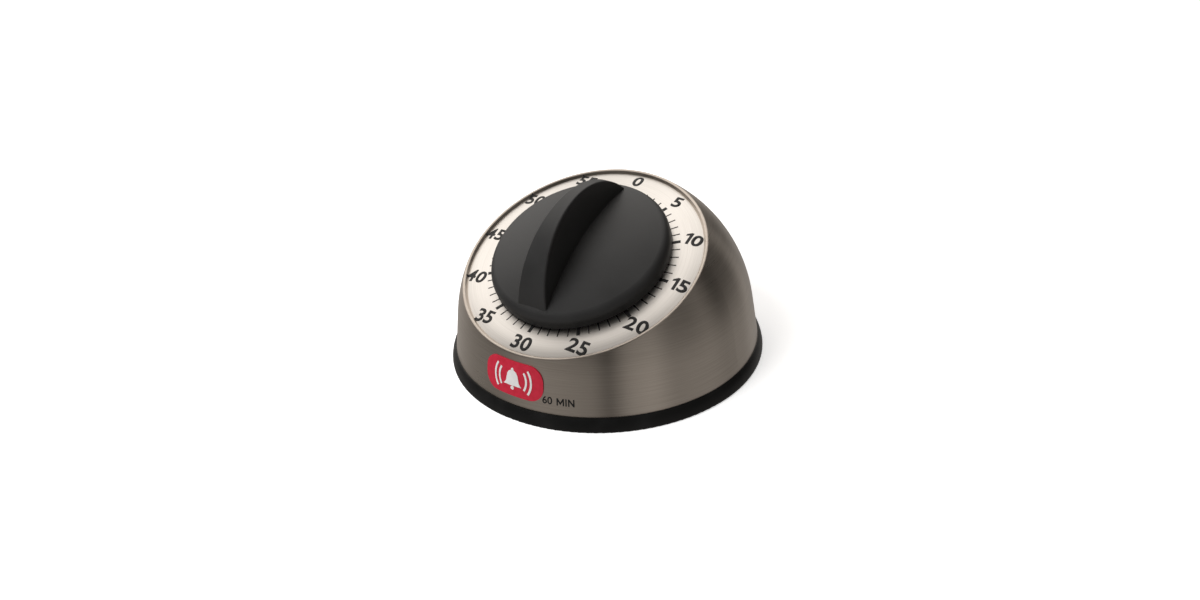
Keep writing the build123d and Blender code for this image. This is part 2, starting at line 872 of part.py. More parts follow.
# The anchor is drawn from its own arbor, with x towards the escape wheel
with BuildPart() as anchor:
    with BuildSketch(level(second_low, anchor_place, to_anchor + 180)):
        Circle(anchor_hub)
        for side in (1, -1):
            outward = 180 - side * anchor_half
            tip = escape_tip + pallet_play
            middle = polar(tip + pallet_length / 2, outward)
            end = polar(tip + pallet_length * pallet_reach, outward)
            end = (end[0] + anchor_distance, end[1])
            with Locations((anchor_distance + middle[0], middle[1])):
                Rectangle(pallet_length, pallet_width, rotation=outward)
            with Locations((end[0] / 2, end[1] / 2)):
                Rectangle(hypot(*end), anchor_arm, rotation=degrees(atan2(end[1], end[0])))
        Circle(arbor_radius, mode=Mode.SUBTRACT)
    extrude(amount=wheel_thickness)
finish(anchor, "anchor")

with BuildPart() as balance_bar:
    with BuildSketch(level(third_low, anchor_place, to_anchor + 90)):
        Rectangle(balance_length, balance_width)
        Circle(balance_hub)
        with Locations((balance_length / 2, 0), (-balance_length / 2, 0)):
            Circle(balance_weight)
        Circle(arbor_radius, mode=Mode.SUBTRACT)
    extrude(amount=wheel_thickness)
finish(balance_bar, "balance_bar")

# Stop: an arm on the main arbor that meets a pin in the front plate at each end of the turn
rest_turn = (360 - winding_turn) / 2
with BuildPart() as stop_pin:
    turn_steps([(stop_pin_radius, front_low, arm_top)], polar(stop_circle, stop_angle))
finish(stop_pin, "stop_pin")

with BuildPart() as stop_arm:
    with BuildSketch(level(arm_low, turn=stop_angle - rest_turn)):
        Circle(2 * shaft_radius)
        with Locations(((stop_circle + stop_arm_width) / 2, 0)):
            Rectangle(stop_circle + stop_arm_width, stop_arm_width)
        Circle(shaft_neck, mode=Mode.SUBTRACT)
    extrude(amount=lever_thickness)
finish(stop_arm, "stop_arm")

# Alarm: the lever's nose waits outside the cam's rim, over the notch that lets it drop at zero
nose_circle = cam_radius + lever_play
nose_turn = hammer_angle + degrees(acos(nose_circle / hammer_circle))
with BuildPart() as alarm_cam:
    with BuildSketch(level(lever_low)):
        Circle(cam_radius)
        middle = nose_turn - rest_turn
        with BuildLine():
            Polyline(
                polar(cam_notch, middle - cam_notch_half),
                polar(2 * cam_radius, middle - cam_notch_half),
                polar(2 * cam_radius, middle + cam_notch_half),
                polar(cam_notch, middle + cam_notch_half),
                close=True,
            )
        make_face(mode=Mode.SUBTRACT)
        Circle(shaft_neck, mode=Mode.SUBTRACT)
    extrude(amount=lever_thickness)
finish(alarm_cam, "alarm_cam")

# The lever's tail waits outside the star wheel and drops midway between two of its teeth
tail_gap = star_tip + lever_play + tail_width / 2
tail_place = (second_place[0] + tail_gap, second_place[1] - tail_drop)
tail_root = (tail_place[0] + tail_length, tail_place[1])
tail_reach = hypot(tail_place[0] - hammer_place[0], tail_place[1] - hammer_place[1])
tail_in = step_from(hammer_place, tail_reach, bearing(hammer_place, tail_place) + hammer_travel)
star_phase = bearing(second_place, tail_in) + 180 / star_teeth
with BuildPart() as star_wheel:
    with BuildSketch(level(lever_low, second_place)):
        corners = [
            (star_root, -star_root_half),
            (star_tip, -star_tip_half),
            (star_tip, star_tip_half),
            (star_root, star_root_half),
        ]
        draw_ring_of_teeth(star_teeth, corners, star_phase)
        Circle(arbor_radius, mode=Mode.SUBTRACT)
    extrude(amount=lever_thickness)
finish(star_wheel, "star_wheel")


def draw_arm(start, end, width, tip):
    """Adds a straight arm with round ends of two widths."""
    line = bearing(start, end)
    with BuildLine() as outline:
        corners = []
        for place, size, side in ((start, width, 90), (end, tip, 90), (end, tip, -90), (start, width, -90)):
            corners.append(step_from(place, size / 2, line + side))
        Polyline(*corners, close=True)
    make_face(outline.edges())
    with Locations(end):
        Circle(tip / 2)


with BuildPart() as hammer_arbor:
    hammer_low = back_low - bell_clearance
    turn_steps([(arbor_radius, hammer_low, lever_top)], hammer_place)
finish(hammer_arbor, "hammer_arbor")

with BuildPart() as release_lever:
    with BuildSketch(level(lever_low)):
        with Locations(hammer_place):
            Circle(hammer_hub)
        nose_root = polar(nose_circle + nose_width / 2 + nose_length, nose_turn)
        draw_arm(hammer_place, nose_root, lever_width, nose_width)
        draw_arm(nose_root, polar(nose_circle + nose_width / 2, nose_turn), nose_width, nose_width)
        elbow = (hammer_place[0] + elbow_step[0], hammer_place[1] + elbow_step[1])
        draw_arm(hammer_place, elbow, lever_width, elbow_width)
        draw_arm(elbow, tail_root, elbow_width, tail_width)
        draw_arm(tail_root, tail_place, tail_width, tail_width)
        with Locations(hammer_place):
            Circle(arbor_radius, mode=Mode.SUBTRACT)
    extrude(amount=lever_thickness)
finish(release_lever, "release_lever")

head_place = step_from(bell_place, bell_radius + strike_gap + head_radius, strike_angle)
arm_bottom = back_low - bell_clearance + arm_clearance
with BuildPart() as hammer_arm:
    with BuildSketch(level(arm_bottom)):
        with Locations(hammer_place):
            Circle(hammer_hub)
        draw_arm(hammer_place, head_place, hammer_arm_width, hammer_arm_width)
        with Locations(head_place):
            Circle(head_radius)
            Circle(head_radius / 2, mode=Mode.SUBTRACT)
        with Locations(hammer_place):
            Circle(arbor_radius, mode=Mode.SUBTRACT)
    extrude(amount=lever_thickness)
finish(hammer_arm, "hammer_arm")

with BuildPart() as hammer_head:
    turn_steps(
        [
            (head_radius, arm_bottom - head_length, arm_bottom),
            (head_radius / 2, arm_bottom, arm_bottom + tang_length),
        ],
        head_place,
    )
finish(hammer_head, "hammer_head")

# Hammer spring: a leaf on a block under the back plate, just behind the hammer's arm
arm_turn = bearing(hammer_place, head_place)
leaf_gap = hammer_arm_width / 2 + hammer_spring_play
leaf_tip = step_from(step_from(hammer_place, hammer_spring_end, arm_turn), leaf_gap, arm_turn - 90)
leaf_foot = step_from(step_from(hammer_place, hammer_spring_start, arm_turn), 3 * leaf_gap, arm_turn - 90)
with BuildPart() as hammer_spring:
    turn_steps([(hammer_spring_block, arm_bottom, back_low)], leaf_foot)
    with BuildSketch(level(arm_bottom)):
        with BuildLine() as leaf_line:
            Line(leaf_foot, leaf_tip)
        trace(leaf_line.line, strip)
    extrude(amount=lever_thickness)
finish(hammer_spring, "hammer_spring")

# Bell: a turned cup that opens towards the back plate, on a post in the back plate
bell_rim = back_low - bell_clearance
crown_low = bell_rim - bell_depth
with BuildPart() as bell:
    with BuildSketch(section(bell_place)):
        with BuildLine():
            Polyline(
                (bell_radius - bell_wall, bell_rim),
                (bell_radius, bell_rim),
                (bell_radius, bell_rim - bell_depth / 3),
                (bell_radius * bell_crown, crown_low),
                (screw_radius, crown_low),
                (screw_radius, crown_low + bell_wall),
                (bell_radius * bell_crown - bell_wall / 3, crown_low + bell_wall),
                (bell_radius - bell_wall, bell_rim - bell_depth / 3 + bell_wall / 3),
                close=True,
            )
        make_face()
    revolve(axis=spindle(bell_place))
    bends = bell.edges().filter_by(GeomType.CIRCLE)
    corners_out = bends.filter_by(lambda edge: edge.radius > bell_radius * bell_crown - bell_wall / 6)
    at_crown = corners_out.filter_by(
        lambda edge: abs((edge.center() - level(crown_low, bell_place).origin).dot(dial_normal)) < pick
    )
    fillet(at_crown, bell_round)
finish(bell, "bell")

with BuildPart() as bell_post:
    turn_steps(
        [(pillar_radius, crown_low + bell_wall, back_low), (screw_radius, back_low, back_top)], bell_place
    )
    turn_steps([(screw_radius, crown_low - nut_height, crown_low + bell_wall)], bell_place)
finish(bell_post, "bell_post")

with BuildPart() as bell_nut:
    with BuildSketch(level(crown_low - nut_height, bell_place)):
        RegularPolygon(nut_corner, 6)
        Circle(screw_radius, mode=Mode.SUBTRACT)
    extrude(amount=nut_height)
finish(bell_nut, "bell_nut")
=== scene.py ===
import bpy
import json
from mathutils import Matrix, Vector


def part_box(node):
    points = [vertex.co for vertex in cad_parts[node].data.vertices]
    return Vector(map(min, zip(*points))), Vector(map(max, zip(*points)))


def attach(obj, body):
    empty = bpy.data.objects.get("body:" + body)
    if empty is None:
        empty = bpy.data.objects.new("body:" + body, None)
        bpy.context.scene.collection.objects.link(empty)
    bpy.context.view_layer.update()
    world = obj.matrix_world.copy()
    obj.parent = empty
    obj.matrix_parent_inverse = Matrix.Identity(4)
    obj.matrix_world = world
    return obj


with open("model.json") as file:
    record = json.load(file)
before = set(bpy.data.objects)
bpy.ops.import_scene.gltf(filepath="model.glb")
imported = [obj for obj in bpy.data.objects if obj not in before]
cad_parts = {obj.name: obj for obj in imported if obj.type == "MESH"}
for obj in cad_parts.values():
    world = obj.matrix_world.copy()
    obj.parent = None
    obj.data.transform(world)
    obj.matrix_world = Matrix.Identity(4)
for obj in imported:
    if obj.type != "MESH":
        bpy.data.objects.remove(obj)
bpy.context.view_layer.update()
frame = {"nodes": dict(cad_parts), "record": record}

import json
from math import cos, pi, radians, sin

import bmesh
import bpy
from mathutils import Matrix, Vector
from mathutils.bvhtree import BVHTree

mm = 0.001
scene = bpy.context.scene
nodes = frame["nodes"]

# The dial's own axes, taken from the joint that the knob turns on
knobJoint = next(j for j in frame["record"]["behaviour"]["joints"] if j["name"] == "knob_turn")
dialCentre = Vector(knobJoint["pos_m"])
dialNormal = Vector(knobJoint["axis"]).normalized()
dialRight = Vector((1, 0, 0))
dialUp = dialNormal.cross(dialRight)
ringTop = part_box("base_ring")[1].z / mm
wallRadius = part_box("housing")[1].x / mm


# Shader maths: a socket that can be added, multiplied and compared
class Field:
    def __init__(self, finish, socket):
        self.finish = finish
        self.socket = socket

    def math(self, operation, *others):
        inputs = dict(enumerate((self,) + others))
        return self.finish.field("Math", {"operation": operation}, inputs)

    def __add__(self, other):
        return self.math("ADD", other)

    def __sub__(self, other):
        return self.math("SUBTRACT", other)

    def __mul__(self, other):
        return self.math("MULTIPLY", other)

    def __truediv__(self, other):
        return self.math("DIVIDE", other)

    def __rsub__(self, other):
        return self.finish.field("Math", {"operation": "SUBTRACT"}, {0: other, 1: self})

    __radd__ = __add__
    __rmul__ = __mul__

    # 0 below the first value, 1 above the second, smooth between them
    def rise(self, low, high):
        settings = {"interpolation_type": "SMOOTHSTEP"}
        return self.finish.field("MapRange", settings, {"Value": self, "From Min": low, "From Max": high})


# One material, or the world: its node tree and what is added to it
class Finish:
    def __init__(self, name, owner=None):
        self.owner = owner or bpy.data.materials.new(name)
        self.owner.use_nodes = True
        self.tree = self.owner.node_tree
        self.tree.nodes.clear()

    def node(self, kind, settings=None, inputs=None):
        made = self.tree.nodes.new("ShaderNode" + kind)
        for name, value in (settings or {}).items():
            if name == "stops":
                self.setStops(made.color_ramp, value)
            else:
                setattr(made, name, value)
        for name, value in (inputs or {}).items():
            if isinstance(value, Field):
                self.tree.links.new(value.socket, made.inputs[name])
            else:
                made.inputs[name].default_value = value
        return made

    def field(self, kind, settings=None, inputs=None, output=0):
        return Field(self, self.node(kind, settings, inputs).outputs[output])

    def setStops(self, ramp, stops):
        while len(ramp.elements) < len(stops):
            ramp.elements.new(0.5)
        for element, (place, colour) in zip(ramp.elements, stops):
            element.position = place
            element.color = (*colour, 1)

    # Object coordinates in millimetres
    def place(self):
        here = self.field("TexCoord", output="Object")
        return self.vector("SCALE", here, Scale=1 / mm)

    def vector(self, operation, first, second=None, output="Vector", **more):
        inputs = {0: first, **more}
        if second is not None:
            inputs[1] = second
        return self.field("VectorMath", {"operation": operation}, inputs, output)

    def split(self, vector):
        made = self.node("SeparateXYZ", inputs={0: vector})
        return [Field(self, made.outputs[i]) for i in range(3)]

    def join(self, x, y, z):
        return self.field("CombineXYZ", inputs={0: x, 1: y, 2: z})

    def noise(self, vector, scale=1, detail=2, roughness=0.5):
        inputs = {"Vector": vector, "Scale": scale, "Detail": detail, "Roughness": roughness}
        return self.field("TexNoise", inputs=inputs)

    def mix(self, factor, first, second):
        return self.field("Mix", {"data_type": "RGBA"}, {"Factor": factor, 6: first, 7: second}, 2)

    # A bump of the given height in millimetres
    def bump(self, height, distance):
        inputs = {"Height": height, "Distance": distance * mm, "Strength": 1.0}
        return self.field("Bump", inputs=inputs)

    def surface(self, **sockets):
        inputs = {name.replace("_", " "): value for name, value in sockets.items()}
        shader = self.field("BsdfPrincipled", inputs=inputs, output="BSDF")
        self.node("OutputMaterial", inputs={"Surface": shader})
        return self.owner


def rgb(red, green, blue):
    return (red, green, blue, 1.0)


def dress(material, *names):
    for name in names:
        slots = nodes[name].data.materials
        for i in range(max(1, len(slots))):
            if i < len(slots):
                slots[i] = material
            else:
                slots.append(material)


# Camera: where it stands round the timer, and how it is held
view = {
    "lens": 32.7,
    "distance": 297.21,
    "azimuth": 36.44,
    "elevation": 29.56,
    "roll": 3.31,
    "across": -1.30,
    "above": 11.38,
}


def makeCamera():
    azimuth, elevation = radians(view["azimuth"]), radians(view["elevation"])
    back = Vector((sin(azimuth) * cos(elevation), -cos(azimuth) * cos(elevation), sin(elevation)))
    right = Vector((cos(azimuth), sin(azimuth), 0))
    up = back.cross(right)
    place = back * view["distance"] + right * view["across"] + up * view["above"]
    roll = Matrix.Rotation(-radians(view["roll"]), 3, back)
    turn = Matrix((roll @ right, roll @ up, back)).transposed()
    data = bpy.data.cameras.new("camera")
    data.lens = view["lens"]
    data.sensor_width = 36
    data.clip_start = 0.01
    data.clip_end = 20
    camera = bpy.data.objects.new("camera", data)
    camera.matrix_world = Matrix.Translation(place * mm) @ turn.to_4x4()
    scene.collection.objects.link(camera)
    scene.camera = camera


makeCamera()
print("camera placed")


# Finishes
steelLook = {
    "body": rgb(0.55, 0.49, 0.43),
    "bodyLight": rgb(0.63, 0.57, 0.505),
    # painted reflection: the dial is the same steel as the body, but its two brushing-line tones are
    # painted lighter for the soft light it reflects
    "dial": rgb(0.86, 0.83, 0.79),
    "litDialGrain": rgb(0.78, 0.75, 0.71),
    "roughness": 0.3,
    "linesPerMm": 4.5,
    "lineLength": 18.0,
    "anisotropy": 0.9,
    "dialEdge": (31.0, 31.3),
    "dialFloor": (-1.6, -1.3),
}


def brushedSteel():
    finish = Finish("brushedSteel")
    here = finish.place()
    x, y, z = finish.split(here)
    fromDial = finish.vector("SUBTRACT", here, dialCentre / mm)
    height = finish.vector("DOT_PRODUCT", fromDial, dialNormal, "Value")
    flat = finish.vector("SUBTRACT", fromDial, finish.vector("SCALE", tuple(dialNormal), Scale=height))
    radius = finish.vector("LENGTH", flat, output="Value")
    # onDial marks the dial: it turns the brushing lines round the dial and gives the dial its painted
    # lighter colour
    onDial = (1 - radius.rise(*steelLook["dialEdge"])) * height.rise(*steelLook["dialFloor"])
    lengthwise = 1 / steelLook["lineLength"]
    rows = steelLook["linesPerMm"]
    aroundBody = finish.join(x * lengthwise, y * lengthwise, z * rows)
    bodyLines = finish.noise(aroundBody, detail=4, roughness=0.65)
    across, along, _ = finish.split(flat)
    aroundDial = finish.join(radius * rows, across * lengthwise, along * lengthwise)
    dialLines = finish.noise(aroundDial, detail=4, roughness=0.65)
    lines = onDial * dialLines + (1 - onDial) * bodyLines
    clouds = finish.noise(here, scale=0.05, detail=2)

    bodyColour = finish.mix(lines.rise(0.3, 0.7), steelLook["body"], steelLook["bodyLight"])
    # painted reflection: the dial's colour is the body's steel painted lighter, standing in for the
    # reflected soft light
    litDialColour = finish.mix(lines.rise(0.3, 0.7), steelLook["litDialGrain"], steelLook["dial"])
    roughness = steelLook["roughness"] + (lines - 0.5) * 0.08 + (clouds - 0.5) * 0.08
    return finish.surface(
        # the dial gets the painted lighter colour, the rest of the housing the plain steel colour
        Base_Color=finish.mix(onDial, bodyColour, litDialColour),
        Metallic=1.0,
        Roughness=roughness,
        Anisotropic=steelLook["anisotropy"],
        Anisotropic_Rotation=0.25,
        Normal=finish.bump(lines, distance=0.003),
    )


knobLook = {
    "colour": rgb(0.020, 0.020, 0.020),
    "worn": rgb(0.027, 0.027, 0.027),
    "roughness": 0.5,
    "grain": 5.0,
}


def knobPlastic():
    finish = Finish("knobPlastic")
    here = finish.place()
    grain = finish.noise(here, scale=knobLook["grain"], detail=3, roughness=0.6)
    clouds = finish.noise(here, scale=0.09, detail=3)
    return finish.surface(
        Base_Color=finish.mix(clouds.rise(0.3, 0.75), knobLook["colour"], knobLook["worn"]),
        Roughness=knobLook["roughness"] + (clouds - 0.5) * 0.12 + (grain - 0.5) * 0.1,
        Specular_IOR_Level=0.6,
        Normal=finish.bump(grain, distance=0.015),
    )


ringLook = {
    "colour": rgb(0.006, 0.006, 0.006),
    "dust": rgb(0.014, 0.014, 0.014),
    "roughness": 0.42,
    "grain": 3.5,
}


def ringRubber():
    finish = Finish("ringRubber")
    here = finish.place()
    grain = finish.noise(here, scale=ringLook["grain"], detail=3, roughness=0.6)
    clouds = finish.noise(here, scale=0.12, detail=3)
    return finish.surface(
        Base_Color=finish.mix(clouds.rise(0.4, 0.8), ringLook["colour"], ringLook["dust"]),
        Roughness=ringLook["roughness"] + (clouds - 0.5) * 0.15 + (grain - 0.5) * 0.1,
        Specular_IOR_Level=0.3,
        Normal=finish.bump(grain, distance=0.02),
    )


paintLook = {
    "colour": rgb(0.012, 0.012, 0.013),
    "worn": rgb(0.024, 0.024, 0.025),
    "roughness": 0.45,
    "grain": 1.6,
}


def basePaint():
    finish = Finish("basePaint")
    here = finish.place()
    grain = finish.noise(here, scale=paintLook["grain"], detail=4, roughness=0.6)
    return finish.surface(
        Base_Color=finish.mix(grain.rise(0.35, 0.7), paintLook["colour"], paintLook["worn"]),
        Roughness=paintLook["roughness"] + (grain - 0.5) * 0.2,
        Normal=finish.bump(grain, distance=0.04),
    )


# Clean colour, tarnished colour, roughness, and turning lines per millimetre
metalLooks = {
    "cutBrass": (rgb(0.72, 0.52, 0.24), rgb(0.48, 0.33, 0.14), 0.3, 2.5),
    "turnedSteel": (rgb(0.56, 0.56, 0.57), rgb(0.36, 0.36, 0.37), 0.28, 3.0),
    "blueSpring": (rgb(0.22, 0.25, 0.34), rgb(0.12, 0.14, 0.22), 0.3, 4.0),
}


# Cut and polished metal inside the movement: fine turning lines and a slight tarnish
def cutMetal(name):
    clean, dull, roughness, rows = metalLooks[name]
    finish = Finish(name)
    here = finish.place()
    depth = finish.vector("DOT_PRODUCT", here, tuple(dialNormal), "Value")
    x, y, z = finish.split(here)
    lines = finish.noise(finish.join(x * 0.2, (y + z) * 0.2, depth * rows), detail=3, roughness=0.6)
    tarnish = finish.noise(here, scale=0.35, detail=4, roughness=0.6)
    return finish.surface(
        Base_Color=finish.mix(tarnish.rise(0.4, 0.75), clean, dull),
        Metallic=1.0,
        Roughness=roughness + (lines - 0.5) * 0.2 + (tarnish - 0.5) * 0.15,
        Normal=finish.bump(lines, distance=0.01),
    )


feltLook = {"deep": rgb(0.03, 0.05, 0.035), "fibre": rgb(0.08, 0.11, 0.08), "grain": 4.0}


def feltCloth():
    finish = Finish("feltCloth")
    here = finish.place()
    fibres = finish.noise(here, scale=feltLook["grain"], detail=5, roughness=0.75)
    return finish.surface(
        Base_Color=finish.mix(fibres.rise(0.3, 0.7), feltLook["deep"], feltLook["fibre"]),
        Roughness=0.9 + (fibres - 0.5) * 0.1,
        Normal=finish.bump(fibres, distance=0.15),
    )


inkLook = {"colour": rgb(0.006, 0.006, 0.006), "thin": rgb(0.016, 0.016, 0.016), "grain": 5.0}


def printedInk():
    finish = Finish("printedInk")
    here = finish.place()
    spots = finish.noise(here, scale=inkLook["grain"], detail=3)
    return finish.surface(
        Base_Color=finish.mix(spots.rise(0.4, 0.8), inkLook["colour"], inkLook["thin"]),
        Roughness=0.5 + (spots - 0.5) * 0.2,
        Normal=finish.bump(spots, distance=0.006),
    )


enamelLooks = {
    "redEnamel": {"colour": rgb(0.62, 0.012, 0.045), "deep": rgb(0.55, 0.008, 0.035)},
    "whiteEnamel": {"colour": rgb(0.88, 0.87, 0.86), "deep": rgb(0.82, 0.81, 0.80)},
}


def enamel(name):
    look = enamelLooks[name]
    finish = Finish(name)
    here = finish.place()
    ripple = finish.noise(here, scale=0.8, detail=2)
    return finish.surface(
        Base_Color=finish.mix(ripple.rise(0.3, 0.7), look["colour"], look["deep"]),
        Roughness=0.32 + (ripple - 0.5) * 0.15,
        Coat_Weight=0.3,
        Normal=finish.bump(ripple, distance=0.02),
    )


steelFinish = brushedSteel()
knobFinish = knobPlastic()
ringFinish = ringRubber()
paintFinish = basePaint()
brassFinish = cutMetal("cutBrass")
metalFinish = cutMetal("turnedSteel")
springFinish = cutMetal("blueSpring")
feltFinish = feltCloth()
inkFinish = printedInk()
redFinish = enamel("redEnamel")
whiteFinish = enamel("whiteEnamel")
finishOfSlot = {
    "brushed_steel": steelFinish,
    "knob_plastic": knobFinish,
    "ring_rubber": ringFinish,
    "base_black": paintFinish,
    "brass": brassFinish,
    "steel": metalFinish,
    "spring_steel": springFinish,
    "felt": feltFinish,
}
for part in frame["record"]["subparts"]:
    dress(finishOfSlot[part["material_slot"]], part["node"])
print("finishes made")


# Printing that lies on the housing: a flat bmesh in millimetres is cut into small cells and
# dropped on the steel along a ray
housing = nodes["housing"]
housingTree = BVHTree.FromPolygons(
    [v.co.copy() for v in housing.data.vertices], [tuple(p.vertices) for p in housing.data.polygons]
)
ink = {"proud": 0.035, "sunk": 0.12, "cell": 0.6}
rays = {"apart": 0.005, "skew": 0.7, "aboveDial": 4, "outsideWall": 80}
weld = {"flat": 1e-5, "laid": 1e-7}  # merging distance in millimetres while flat, in metres once laid


def cutCells(bm, size, cell):
    for axis, reach in enumerate(size):
        normal = Vector((axis == 0, axis == 1, 0))
        steps = int(reach / cell) + 1
        for i in range(-steps, steps + 1):
            whole = bm.verts[:] + bm.edges[:] + bm.faces[:]
            place = normal * i * cell
            bmesh.ops.bisect_plane(bm, geom=whole, plane_co=place, plane_no=normal, dist=weld["flat"])


# Two rays side by side, because one can slip between two faces and meet the far side of the sheet
def firstHit(start, direction):
    across = direction.orthogonal().normalized()
    beside = (across + rays["skew"] * direction.cross(across)) * rays["apart"] * mm
    reach = min(housingTree.ray_cast(start + step, direction)[3] for step in (beside, -beside))
    return start + direction * reach


# Lays a flat bmesh on the steel and gives it its thickness
def layOnSteel(bm, project, proud, sunk):
    for vert in bm.verts:
        start, direction = project(vert.co)
        vert.co = firstHit(start, direction) - direction * proud * mm
    made = bmesh.ops.extrude_face_region(bm, geom=bm.faces[:], use_keep_orig=True)
    for vert in [g for g in made["geom"] if isinstance(g, bmesh.types.BMVert)]:
        vert.co = vert.co + project.inward(vert.co) * (proud + sunk) * mm
    bmesh.ops.recalc_face_normals(bm, faces=bm.faces[:])


# Drops a point of the dial's plane down the dial's axis
class OntoDial:
    def __init__(self, centre, turn=0.0):
        self.centre = centre
        self.turn = turn

    def __call__(self, co):
        x = self.centre[0] + co.x * cos(self.turn) - co.y * sin(self.turn)
        y = self.centre[1] + co.x * sin(self.turn) + co.y * cos(self.turn)
        above = dialRight * x + dialUp * y + dialNormal * rays["aboveDial"]
        return dialCentre + above * mm, -dialNormal

    def inward(self, co):
        return -dialNormal


# Wraps a flat sheet round the front of the housing: x runs round it and y up it
class OntoWall:
    def __init__(self, azimuth, height):
        self.azimuth = azimuth
        self.height = height

    def __call__(self, co):
        angle = radians(self.azimuth) + co.x / wallRadius
        outward = Vector((sin(angle), -cos(angle), 0))
        start = outward * rays["outsideWall"] + Vector((0, 0, self.height + co.y))
        return start * mm, -outward

    def inward(self, co):
        return -Vector((co.x, co.y, 0)).normalized()


def addPiece(name, bm, finish, body="timer_body"):
    mesh = bpy.data.meshes.new(name)
    bmesh.ops.remove_doubles(bm, verts=bm.verts[:], dist=weld["laid"])
    bm.to_mesh(mesh)
    bm.free()
    mesh.materials.append(finish)
    piece = bpy.data.objects.new(name, mesh)
    scene.collection.objects.link(piece)
    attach(piece, body)


# Moves one bmesh into another
def pour(bm, whole):
    mesh = bpy.data.meshes.new("poured")
    bm.to_mesh(mesh)
    bm.free()
    whole.from_mesh(mesh)
    bpy.data.meshes.remove(mesh)


def textMesh(word, size, bold):
    curve = bpy.data.curves.new("word", "FONT")
    curve.body = word
    curve.size = size
    curve.offset = bold
    curve.resolution_u = 5
    holder = bpy.data.objects.new("word", curve)
    scene.collection.objects.link(holder)
    bpy.context.view_layer.update()
    mesh = bpy.data.meshes.new_from_object(holder.evaluated_get(bpy.context.evaluated_depsgraph_get()))
    bm = bmesh.new()
    bm.from_mesh(mesh)
    bmesh.ops.remove_doubles(bm, verts=bm.verts[:], dist=weld["flat"])
    bpy.data.objects.remove(holder)
    bpy.data.curves.remove(curve)
    bpy.data.meshes.remove(mesh)
    return bm


def spanOf(bm):
    xs = [v.co.x for v in bm.verts]
    ys = [v.co.y for v in bm.verts]
    return min(xs), max(xs), min(ys), max(ys)


# Numerals stand upright all round the dial
numerals = {
    "radius": 28.65,
    "height": 3.8,
    "bold": 0.15,
    "width": 1.04,
    "gap": 0.34,
    "step": 5,
    "capital": 0.7,  # height of a figure in the built-in font as a share of its size
    "reach": (5, 3),  # half the patch that is cut into cells
}


# A plain one: an upright stroke with a short flag
def drawOne(height):
    bm = bmesh.new()
    stroke = height * 0.2
    corners = [
        (0, 0),
        (stroke, 0),
        (stroke, height),
        (stroke * 0.25, height),
        (-stroke * 1.15, height * 0.80),
        (-stroke * 1.15, height * 0.66),
        (0, height * 0.74),
    ]
    bm.faces.new([bm.verts.new((x, y, 0)) for x, y in corners])
    return bm


def drawDigit(digit):
    if digit == "1":
        bm = drawOne(numerals["height"])
    else:
        bm = textMesh(digit, numerals["height"] / numerals["capital"], numerals["bold"])
    left, right, low, high = spanOf(bm)
    grow = numerals["height"] / (high - low)
    bmesh.ops.translate(bm, verts=bm.verts[:], vec=(-left, -low, 0))
    bmesh.ops.scale(bm, verts=bm.verts[:], vec=(numerals["width"], grow, 1))
    return bm


def drawNumber(word):
    bm = bmesh.new()
    cursor = 0
    for digit in word:
        one = drawDigit(digit)
        bmesh.ops.translate(one, verts=one.verts[:], vec=(cursor, 0, 0))
        cursor = spanOf(one)[1] + numerals["gap"]
        pour(one, bm)
    middle = (cursor - numerals["gap"]) / 2
    bmesh.ops.translate(bm, verts=bm.verts[:], vec=(-middle, -numerals["height"] / 2, 0))
    return bm


def makeNumerals():
    whole = bmesh.new()
    for minute in range(0, 60, numerals["step"]):
        bm = drawNumber(str(minute))
        cutCells(bm, numerals["reach"], ink["cell"])
        angle = 2 * pi * minute / 60
        centre = (numerals["radius"] * sin(angle), numerals["radius"] * cos(angle))
        layOnSteel(bm, OntoDial(centre), ink["proud"], ink["sunk"])
        pour(bm, whole)
    addPiece("dial_numerals", whole, inkFinish)


# Minute marks: a thin line for each minute and a heavy one at each numeral
marks = {"outer": 25.4, "length": 2.4, "thin": 0.3, "heavy": 0.9}


def makeMarks():
    whole = bmesh.new()
    for minute in range(60):
        angle = -2 * pi * minute / 60
        width = marks["heavy"] if minute % numerals["step"] == 0 else marks["thin"]
        bm = bmesh.new()
        bmesh.ops.create_grid(bm, x_segments=2, y_segments=5, size=0.5)
        bmesh.ops.scale(bm, verts=bm.verts[:], vec=(width, marks["length"], 1))
        middle = marks["outer"] - marks["length"] / 2
        centre = (-middle * sin(angle), middle * cos(angle))
        layOnSteel(bm, OntoDial(centre, angle), ink["proud"], ink["sunk"])
        pour(bm, whole)
    addPiece("minute_marks", whole, inkFinish)


makeNumerals()
makeMarks()
print("dial printed")


# Badge: a red enamel pill with a plain white bell, and the range printed beside it
badge = {
    "azimuth": 0.0,
    "rise": 7.1,
    "width": 17.8,
    "depth": 9.2,
    "round": 0.42,
    "cell": 0.8,
    "proud": 0.25,
    "sunk": 0.4,
}


def makeBadge():
    bm = bmesh.new()
    bmesh.ops.create_grid(bm, x_segments=1, y_segments=1, size=0.5)
    bmesh.ops.scale(bm, verts=bm.verts[:], vec=(badge["width"], badge["depth"], 1))
    bmesh.ops.bevel(
        bm,
        geom=bm.verts[:],
        offset=badge["depth"] * badge["round"],
        offset_type="OFFSET",
        affect="VERTICES",
        segments=10,
        profile=0.5,
        material=-1,
    )
    cutCells(bm, (badge["width"] / 2, badge["depth"] / 2), badge["cell"])
    layOnSteel(bm, OntoWall(badge["azimuth"], ringTop + badge["rise"]), badge["proud"], badge["sunk"])
    addPiece("badge_plate", bm, redFinish)


